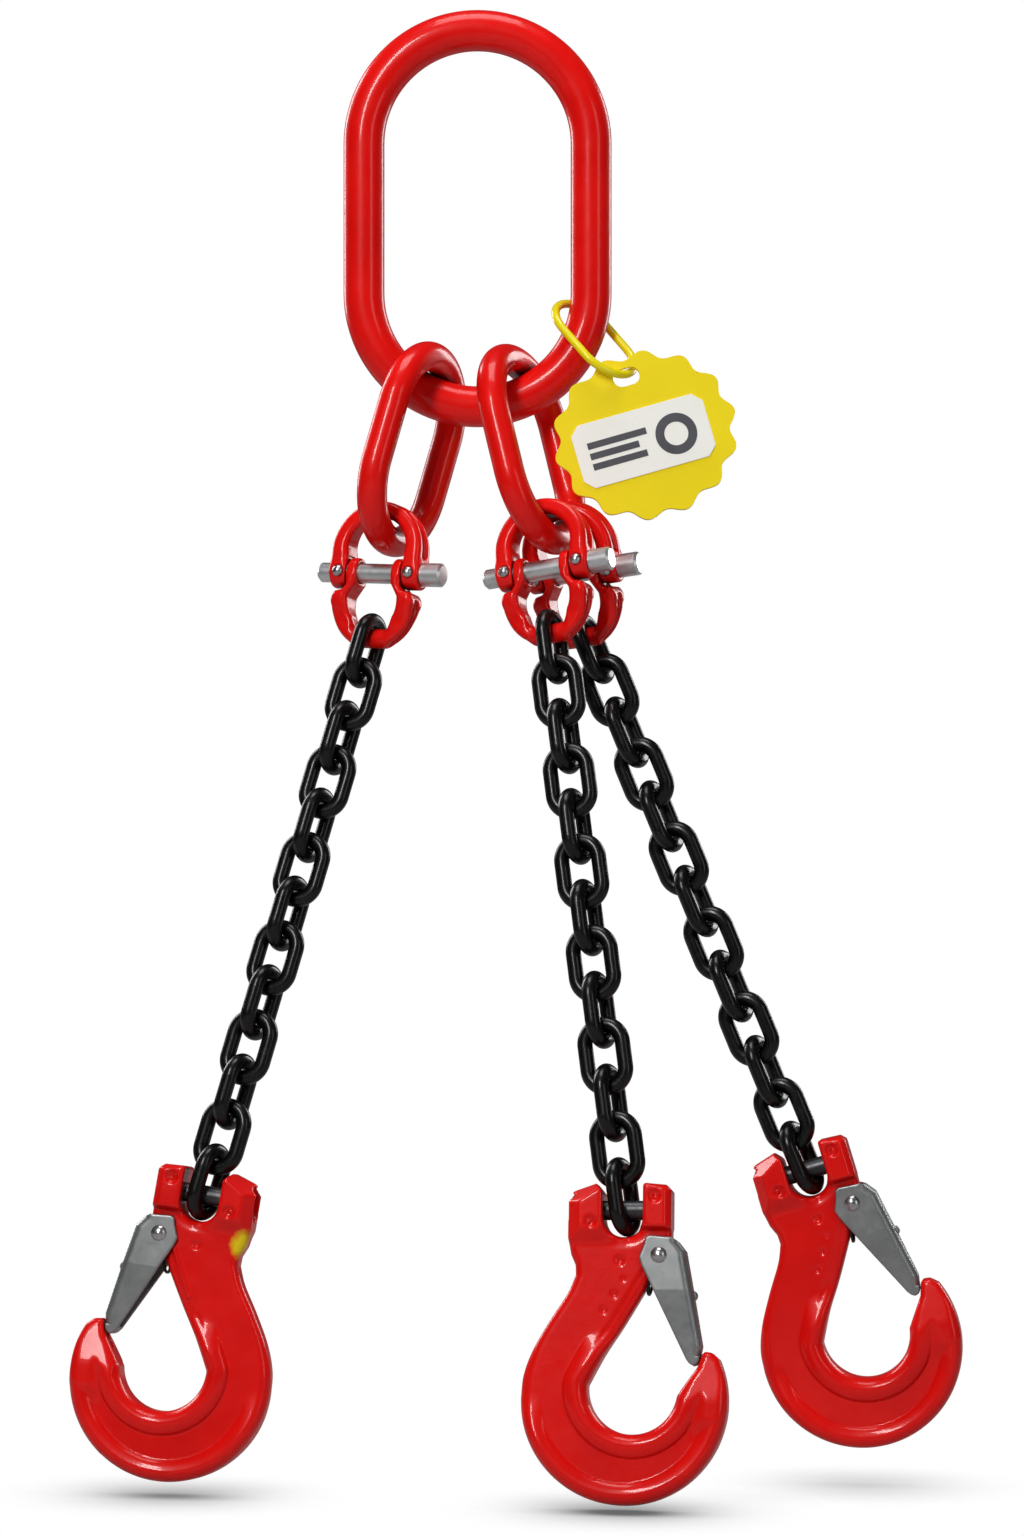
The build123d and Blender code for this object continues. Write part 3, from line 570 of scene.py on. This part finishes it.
def bevel_ears(field, x, side, z):
    """Bevels on both ears; the spine ear is at x below the pin, the tip ear above."""
    out = side - EAR_FACE
    low = 40.0 * (1 - smoothstep(62, 72, z))     # switches the bevel off under the ear
    edge = ((-x - 25.3) + out) * 0.7071 - low
    top = -(x + 13.6) * 0.45 + out * 0.5 + (z - 101.5) * 0.74
    bevelled = smooth_max(smooth_max(field, edge, 0.7), top, 0.7)
    field = np.where(x < PIN_X, bevelled, field)
    edge = ((x - 17.6) + out) * 0.7071
    top = (x - 6.8) * 0.22 + out * 0.45 + (z - 103.4) * 0.86
    bevelled = smooth_max(smooth_max(field, edge, 0.7), top, 0.7)
    field = np.where((x > PIN_X) & (z > 78), bevelled, field)
    # broken top edge on the slot side of the spine ear, so that the last link can lean over it
    lean = (x + 14.0) * 0.8 + (z - 99.6) * 0.6
    return np.where(x < PIN_X, smooth_max(field, lean, 0.7), field)


def hook_field(pin_x, y, pin_z):
    x, z = pin_x + PIN_X, pin_z + PIN_Z
    side = np.abs(y)
    edge_radius = 6.2 - 2.0 * smoothstep(2, 30, z) - 2.0 * smoothstep(70, 84, z)
    tip_radius = 5.6 - 2.6 * smoothstep(-8, 8, z)
    edge_radius = np.where(x > 26, np.minimum(edge_radius, tip_radius), edge_radius)
    field = rounded(hook_map(x, z), side - hook_half_thickness(x, z), edge_radius)
    # slot for the last chain link, with a soft saddle under it
    slot = np.hypot(x - PIN_X, np.minimum(z - SLOT_FLOOR, 0)) - SLOT_HALF
    field = cut(field, slot, 2.4 + 4.6 * smoothstep(88, 77, z))
    field = bevel_ears(field, x, side, z)
    # upright oval recess in the spine ear, bore behind it
    oval = np.hypot(y, np.maximum(np.abs(z - PIN_Z + 0.6) - 2.4, 0)) - 6.6
    field = cut(field, np.maximum(oval, x + 27.2 - 0.25 * (z - PIN_Z)), 0.9)
    field = cut(field, np.maximum(np.hypot(y, z - PIN_Z) - 5.2, x + 20.0), 0.4)
    for cx, cz in DIMPLES:
        field = cut(field, ball(x, side, z, (cx, 15.0, cz), 4.15), 0.45)
    # round marks down the neck; the top one is on both faces, the others only at y below 0
    for cx, cz, radius in MARKS:
        mark = ball(x, side, z, (cx, 10.0, cz), radius)
        if cz < 60:
            mark = np.where(y > 0, 5.0, mark)
        field = cut(field, mark, 0.35)
    rib = np.sqrt(segment_distance2(x, z, *RIB) + (y - 7.2)**2) - 1.15
    field = join(field, rib, 0.5)
    # spot face for the spring coil
    coil_seat = np.maximum(np.hypot(x - RIVET_X, z - RIVET_Z) - 6.4, y + 5.5)
    field = cut(field, coil_seat, 0.5)
    # leaning groove in the tip for the latch nose
    groove_x = 33.6 + 0.30 * (z - 12.0)
    groove = np.sqrt((x - groove_x)**2 + y**2) - 2.9
    return cut(field, np.maximum(groove, 5.0 - z), 0.7)


# ---------------------------------------------------------------- coupling halves
# From the coupling pin: x along the pin, z from the chain towards the crown.
FORK_OUT, FORK_IN, SHOULDER_Z = 26.0, 16.4, 12.5       # upper half
EYE_OUT, EYE_IN = 16.0, 10.3                           # lower half
CROWN = arc((FORK_OUT, SHOULDER_Z), (0, 38.5), (-FORK_OUT, SHOULDER_Z), 48)
UPPER_OUTLINE = (
    [(FORK_IN, -1), (FORK_OUT, -1)] + CROWN
    + [(-FORK_OUT, -1), (-FORK_IN, -1), (-FORK_IN, 9.6), (-17.0, 12.8)]
    + arc((-17.0, 12.8), (0, 29.8), (17.0, 12.8), 40)[1:] + [(FORK_IN, 9.6)])
LOWER_OUTLINE = (
    [(EYE_IN, 0), (EYE_OUT, 0), (EYE_OUT, -7.0), (18.0, -9.6), (22.0, -10.6)]
    + arc((22.0, -10.6), (24.0, -14.0), (23.6, -19.0), 10)[1:]
    + arc((23.6, -19.0), (0, -41.0), (-23.6, -19.0), 48)[1:]
    + arc((-23.6, -19.0), (-24.0, -14.0), (-22.0, -10.6), 10)[1:]
    + [(-18.0, -9.6), (-EYE_OUT, -7.0), (-EYE_OUT, 0), (-EYE_IN, 0), (-EYE_IN, -6.0),
       (-14.6, -13.0)]
    + arc((-14.6, -13.0), (0, -29.5), (14.6, -13.0), 40)[1:] + [(EYE_IN, -6.0)])
UPPER_SEAM = [(FORK_OUT, 8.0)] + CROWN + [(-FORK_OUT, 8.0)]
LOWER_SEAM = arc((23.9, -16.0), (0, -41.0), (-23.9, -16.0), 48)
UPPER_AREA = ((-32, -14), (32, 46))
LOWER_AREA = ((-32, -48), (32, 14))
upper_map = DistanceMap(outline_distance, UPPER_OUTLINE, UPPER_AREA, 0.3)
lower_map = DistanceMap(outline_distance, LOWER_OUTLINE, LOWER_AREA, 0.3)
upper_seam_map = DistanceMap(line_distance, UPPER_SEAM, UPPER_AREA, 0.4)
lower_seam_map = DistanceMap(line_distance, LOWER_SEAM, LOWER_AREA, 0.4)
SEAM_SQUASH = 0.85       # y scale of the parting groove


def upper_field(x, y, z):
    side, out, from_pin = np.abs(y), np.abs(x), np.hypot(y, z)
    half = 8.4 - 1.9 * smoothstep(8, 31, z)
    field = rounded(upper_map(x, z), side - half, 3.3)
    # parting groove round the outside
    seam = np.hypot(upper_seam_map(x, z), y * SEAM_SQUASH) - 2.1
    field = cut(field, np.where(z > 6.0, seam, 6.0), 1.2)
    knuckle = rounded(from_pin - 8.5, np.maximum(out - FORK_OUT, 16.5 - out), 1.6)
    field = join(field, knuckle, 2.2)
    field = np.where(z < 8.5, smooth_max(field, 16.45 - out, 0.5), field)
    field = cut(field, from_pin - 5.55, 0.5)
    # shallow seats round the stud heads
    return cut(field, ball(out, side, z, (20.6, 10.9, 0), 4.1), 0.5)


def lower_field(x, y, z):
    side, out, from_pin = np.abs(y), np.abs(x), np.hypot(y, z)
    half = 8.4 - 3.0 * smoothstep(-13, -28, z)
    field = rounded(lower_map(x, z), side - half, 3.2)
    seam = np.hypot(lower_seam_map(x, z), y * SEAM_SQUASH) - 1.9
    field = cut(field, seam, 1.1)
    # round bar where the first chain link bears
    bar = np.hypot(y, z + 35.2) - 5.15
    near = smoothstep(12.5, 8.0, out)
    barred = smooth_max(np.maximum(bar, out - 16), field - 6, 0.2)
    field = np.where(z < -24, field * (1 - near) + barred * near, field)
    knuckle = rounded(from_pin - 8.1, np.maximum(out - 15.9, EYE_IN - out), 1.5)
    field = join(field, knuckle, 1.6)
    field = np.where(z > -6.2, smooth_max(field, 10.35 - out, 0.4), field)
    # room for the upper half's knuckles, then the bore
    field = cut(field, np.maximum(from_pin - 9.0, 16.1 - out), 0.6)
    return cut(field, from_pin - 5.5, 0.4)


# ---------------------------------------------------------------- latch
# Drawn from the bowl centre like the hook: x, z.
LATCH_OUTLINE = [(7.6, 73.0), (8.3, 76.4), (10.2, 77.6), (21.5, 76.6), (24.3, 75.0), (28.2, 70.0),
                 (37.0, 22.0), (35.6, 14.8), (34.4, 12.8), (32.4, 12.2), (30.6, 13.2),
                 (29.0, 15.2), (6.2, 62.6), (5.0, 66.5)]
LATCH_AREA = ((-6, 2), (48, 92))
latch_map = DistanceMap(outline_distance, LATCH_OUTLINE, LATCH_AREA, 0.3)
back_map = DistanceMap(line_distance, LATCH_OUTLINE[4:8], LATCH_AREA, 0.4)
FOLD, INNER_FOLD, SHEET = 4.2, 3.0, 1.7      # fold radii and sheet thickness


def latch_field(pin_x, y, pin_z):
    """A folded channel, open towards the hook's neck."""
    x, z = pin_x + PIN_X, pin_z + PIN_Z
    side = np.abs(y)
    half = 10.3 - 4.7 * (1 - np.clip((z - 10.0) / 40.0, 0, 1))
    field = rounded(latch_map(x, z), side - half, 0.75)
    back = back_map(x, z)
    fold = corner(FOLD - back, side - half + FOLD) - FOLD
    at_fold = (back < FOLD) & (side > half - FOLD) & (z > 17)
    field = np.where(at_fold, np.maximum(field, fold), field)
    # hollow, solid below z 16
    hollow = np.maximum(np.maximum(SHEET - back, side - (half - SHEET)), 16.0 - z)
    a, b = INNER_FOLD - (back - 1.5), side - (half - 1.6) + INNER_FOLD
    inner_fold = corner(a, b) - INNER_FOLD
    hollow = np.maximum(hollow, np.where((a > 0) & (b > 0), inner_fold, -9))
    field = cut(field, hollow, 0.3)
    # long slot down the back
    slot = np.maximum(side - 1.3, np.maximum(z - 68.0, 23.0 - z))
    field = cut(field, np.maximum(slot, back - 3.0), 0.3)
    # small swelling on each side of the slot
    tab = np.sqrt((x - 32.6)**2 * 0.9 + (side - 1.9)**2 + ((z - 47.5) * 0.7)**2) - 1.6
    return join(field, tab, 0.5)


# ---------------------------------------------------------------- spring and roll pins
COIL_RADIUS = 3.9
SPRING_LEG = ((10.4, -7.4, 54.5), (9.6, -6.2, 50.2), (9.3, -3.0, 48.4), (9.3, 3.0, 48.4),
              (9.6, 6.2, 50.2), (10.6, 7.2, 54.0), (12.4, 7.4, 60.0))     # from the bowl centre
ROLL_PINS = ((-17.4, -6.0), (17.0, 6.0))                                  # x, z from the load pin


def spring_mesh():
    """Coils round the rivet, and a leg that bridges the inner edge of the neck."""
    centre_x, centre_z = RIVET_X - PIN_X, RIVET_Z - PIN_Z
    coil = []
    for i in range(101):
        a = math.radians(200 - 7.9 * i)
        coil.append((centre_x + COIL_RADIUS * math.cos(a), -6.15 - 0.018 * i,
                     centre_z + COIL_RADIUS * math.sin(a)))
    leg_points = [coil[-1], (coil[-1][0] + 0.2, -7.6, centre_z - 8.0)]
    leg_points += [(x - PIN_X, y, z - PIN_Z) for x, y, z in SPRING_LEG]
    return build_mesh("m_spring", *tube(coil[:-2] + spline(leg_points, 12), 0.85, sides=12))


def roll_pin_mesh():
    verts, faces = [], []
    for x, z in ROLL_PINS:
        pin_verts, pin_faces = tube([(x, y, z) for y in np.linspace(-11.0, 11.0, 12)], 1.9,
                                    sides=20)
        start = len(verts)
        verts += list(pin_verts)
        faces += [tuple(i + start for i in face) for face in pin_faces]
    return build_mesh("m_rolls", np.array(verts), faces)


# ---------------------------------------------------------------- frames of the moving pieces
def vec(v):
    return np.array(v, float)


def unit(v):
    return v / np.linalg.norm(v)


def frame_at(origin, x, z):
    """Matrix of a frame from its origin and its x and z axes."""
    matrix = Matrix.Identity(4)
    for i, row in enumerate(zip(x, unit(np.cross(z, x)), z, origin)):
        matrix[i][0], matrix[i][1], matrix[i][2], matrix[i][3] = row
    return matrix


def joint_at(name):
    return vec(JOINTS[name]["pos_m"])


def joint_axis(name):
    return unit(vec(JOINTS[name]["axis"]))


def skin_centre(node):
    """Area-weighted centre of a CAD node's skin."""
    polygons = frame["nodes"][node].data.polygons
    areas = np.empty(len(polygons))
    centres = np.empty(3 * len(polygons))
    polygons.foreach_get("area", areas)
    polygons.foreach_get("center", centres)
    return (centres.reshape(-1, 3) * areas[:, None]).sum(0) / areas.sum()


def hook_frame(leg):
    """On the load pin, x towards the latch, z up."""
    origin, x = joint_at(leg + "_hook_swing"), joint_axis(leg + "_hook_swing")
    low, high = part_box("hook_%s_latch" % leg)
    if x @ ((vec(low) + vec(high)) / 2 - origin) < 0:
        x = -x
    z = unit(np.cross(x, joint_axis(leg + "_hook_latch")))
    return frame_at(origin, x, -z if z[2] < 0 else z)


def coupling_frames(leg):
    """Both halves share the hinge; each z follows its own half."""
    origin, x = joint_at(leg + "_joining_hinge"), joint_axis(leg + "_joining_hinge")
    if x[0] < 0:
        x = -x
    from_chain = origin - joint_at(leg + "_link_01_flex")
    to_crown = skin_centre("joining_link_%s_upper" % leg) - origin
    return [frame_at(origin, x, unit(z - x * (z @ x))) for z in (from_chain, to_crown)]


# ---------------------------------------------------------------- pieces on every leg
forged = build_mesh("m_hook", *surface_net(hook_field, (-55., -15.5, -150.), (56., 15.5, 17.),
                                           0.85))
upper = build_mesh("m_upper", *surface_net(upper_field, (-28., -10., -10.), (28., 10., 40.5),
                                           0.55))
lower = build_mesh("m_lower", *surface_net(lower_field, (-28., -10., -43.), (28., 10., 10.),
                                           0.55))
latch = build_mesh("m_latch", *surface_net(latch_field, (6., -12., -80.), (42., 12., -11.), 0.5))

# name, mesh, frame, body, replaced CAD node, slot, material; {} is the leg
PIECES = (
    ("forging_{}", forged, "hook", "hook_{}", "hook_{}_body", "forged_red", "forged"),
    ("roll_pins_{}", roll_pin_mesh(), "hook", "hook_{}", "hook_{}_roll_pins",
     "forged_red", "forged"),
    ("spring_{}", spring_mesh(), "hook", "hook_{}", "hook_{}_latch_spring",
     "spring_steel", "spring"),
    ("latch_plate_{}", latch, "hook", "latch_{}", "hook_{}_latch", "latch_steel", "latch"),
    ("coupling_upper_{}", upper, "upper", "joining_{}_upper", "joining_link_{}_upper",
     "forged_red", "forged"),
    ("coupling_lower_{}", lower, "lower", "joining_{}_lower", "joining_link_{}_lower",
     "forged_red", "forged"),
)
SMEAR = (-30.6, 8.5, 68.5)      # on the left hook, from the bowl centre

leg_frames = {}
for leg in LEGS:
    lower_frame, upper_frame = coupling_frames(leg)
    leg_frames[leg] = {"hook": hook_frame(leg), "lower": lower_frame, "upper": upper_frame}

for leg in LEGS:
    for name, mesh, place, body, node, slot, finish in PIECES:
        material = MATERIALS[finish]
        if name.format(leg) == "forging_left":
            spot = (SMEAR[0] - PIN_X, SMEAR[1], SMEAR[2] - PIN_Z)
            material = smeared(material, "red_powder_coat_smeared",
                               leg_frames[leg]["hook"] @ Vector([c / 1000 for c in spot]))
        put(name.format(leg), mesh, leg_frames[leg][place], body.format(leg),
            node.format(leg), material)


# ---------------------------------------------------------------- CAD pieces that stay
# the first pattern that fits a node gives its material
NODE_MATERIALS = (
    ("chain_*", "chain"), ("master_link", "wire"), ("intermediate_link_left", "wire"),
    ("intermediate_link_right", "wire"), ("*_load_pin", "load_pin"), ("*_pin", "pin"),
    ("*_studs", "dome"), ("*_rivet", "dome"), ("tag_ring", "ring"), ("tag_plate", "tag"),
    ("tag_label", "label"),
)


def dress(node, material):
    mesh = frame["nodes"][node].data
    mesh.materials.clear()
    mesh.materials.append(material)
    for face in mesh.polygons:
        face.material_index = 0


for node in frame["nodes"]:
    finish = next((key for pattern, key in NODE_MATERIALS if fnmatchcase(node, pattern)), None)
    if finish:
        dress(node, MATERIALS[finish])


# ---------------------------------------------------------------- print on the label
# Bars and a ring, no lettering. Millimetres from the label centre, x along it, front at -y.
BAR_START, BAR_HEIGHT = -29.5, 3.6
BARS = ((3.0, 3.2), (-2.5, -2.6), (0.5, -8.4))      # end x, bottom z
RING_X, RING_Z, RING_IN, RING_OUT, RING_STEPS = 18, -1, 6.4, 11.2, 40
PRINT_Y = (-0.22, -0.42)                            # back and front of the print


def label_frame():
    """On the label's centre, x and z along its two long directions."""
    points = np.array([v.co for v in frame["nodes"]["tag_label"].data.vertices], float)
    _, spread = np.linalg.eigh(np.cov((points - points.mean(0)).T))
    x, z = spread[:, 2], spread[:, 1]
    x = x if x[0] > 0 else -x
    z = z if z[2] > 0 else -z
    return frame_at((points.max(0) + points.min(0)) / 2, x, z)


def print_mesh():
    outlines = [[(BAR_START, z), (end, z), (end, z + BAR_HEIGHT), (BAR_START, z + BAR_HEIGHT)]
                for end, z in BARS]
    for i in range(RING_STEPS):
        a, b = 2 * math.pi * i / RING_STEPS, 2 * math.pi * (i + 1) / RING_STEPS
        outlines.append([(RING_X + r * math.cos(t), RING_Z + r * math.sin(t))
                         for r, t in ((RING_IN, a), (RING_OUT, a), (RING_OUT, b), (RING_IN, b))])
    verts, faces = [], []
    for outline in outlines:
        k, n = len(verts), len(outline)
        verts += [(x, y, z) for y in PRINT_Y for x, z in outline]
        faces.append(tuple(range(k, k + n))[::-1])
        faces.append(tuple(range(k + n, k + 2 * n)))
        faces += [(k + i, k + (i + 1) % n, k + n + (i + 1) % n, k + n + i) for i in range(n)]
    return build_mesh("m_print", np.array(verts), faces)


label_print = put("tag_label_print", print_mesh(), label_frame(), "tag", None,
                  MATERIALS["print"])
for face in label_print.data.polygons:
    face.use_smooth = False


# ---------------------------------------------------------------- camera, light, floor
# name, place, target, width, height (None for a square), watts
LIGHTS = (
    ("key", (-0.75, -2.0, 0.85), (0, 0, -0.4), 0.34, 1.1, 35),
    ("fill", (1.6, -1.7, 0.1), (0, 0, -0.45), 0.5, 1.4, 5.0),
    ("top", (0.0, -0.25, 1.25), (0, 0, -0.4), 0.8, None, 12),
    ("back_l", (-1.3, 1.2, 0.4), (0, 0, -0.4), 0.4, 1.2, 15),
    ("back_r", (1.4, 1.3, 0.2), (0, 0, -0.4), 0.4, 1.2, 13),
)
FLOOR_SIZE, FLOOR_GAP = 12.0, 0.0015      # the gap is under the lowest CAD point
scene = bpy.context.scene


def add_camera():
    camera = bpy.data.cameras.new("camera")
    camera.sensor_width = 36.0
    camera.sensor_fit = "AUTO"
    camera.lens = 96.0
    camera.clip_end = 100.0
    holder = bpy.data.objects.new("camera", camera)
    holder.location = (0.0185, -2.2, -0.385)
    holder.rotation_euler = (math.radians(90), 0, 0)
    scene.collection.objects.link(holder)
    scene.camera = holder


def add_world():
    """White to the camera, almost dark to everything else."""
    world = bpy.data.worlds.new("studio")
    scene.world = world
    world.use_nodes = True
    s = Shader(world.node_tree)
    s.nodes.clear()
    seen = s.add("Background", {"Color": (1, 1, 1, 1), "Strength": 1.0})
    ambient = s.add("Background", {"Color": (0.95, 0.97, 1.0, 1), "Strength": 0.05})
    camera_ray = s.add("LightPath").outputs["Is Camera Ray"]
    mixed = s.add("MixShader", {0: camera_ray, 1: ambient.outputs[0], 2: seen.outputs[0]})
    s.add("OutputWorld", {0: mixed.outputs[0]})


def add_light(name, place, target, width, height, watts):
    light = bpy.data.lights.new(name, "AREA")
    light.energy, light.size = watts, width
    if height:
        light.shape, light.size_y = "RECTANGLE", height
    holder = bpy.data.objects.new(name, light)
    holder.location = place
    aim = Vector(target) - Vector(place)
    holder.rotation_euler = aim.to_track_quat("-Z", "Y").to_euler()
    scene.collection.objects.link(holder)


def floor_paper():
    """White to the camera but for the soft shade near the hooks; grey paper to other rays."""
    material, s = new_material("floor_paper")
    openness = s.add("AmbientOcclusion", {"Distance": 0.07}, samples=24).outputs["AO"]
    shade = s.ramp(openness, (0.30, 0.14), (0.62, 0.55), (0.93, 1.0))
    grain = s.noise(scale=260, detail=3)
    shade = s.math("ADD", shade, s.multiply(s.math("SUBTRACT", grain, 0.5), 0.02))
    s.surface({"Base Color": (0.42, 0.42, 0.42, 1), "Roughness": 0.85,
               "Specular IOR Level": 0.15,
               "Normal": s.bump(grain, strength=0.05, distance=0.0005)})
    glow = s.add("Emission", {0: shade}).outputs[0]
    camera_ray = s.add("LightPath").outputs["Is Camera Ray"]
    paper = s.nodes["Principled BSDF"].outputs[0]
    mixed = s.add("MixShader", {0: camera_ray, 1: paper, 2: glow})
    s.feed(s.nodes["Material Output"], {0: mixed.outputs[0]})
    return material


add_camera()
add_world()
scene.view_settings.view_transform = "Standard"
scene.view_settings.look = "None"
for row in LIGHTS:
    add_light(*row)

bpy.ops.mesh.primitive_plane_add(size=FLOOR_SIZE,
                                 location=(0, 0, float(cad_box[0][2]) - FLOOR_GAP))
floor = bpy.context.object
floor.name = "floor"
floor.data.materials.append(floor_paper())
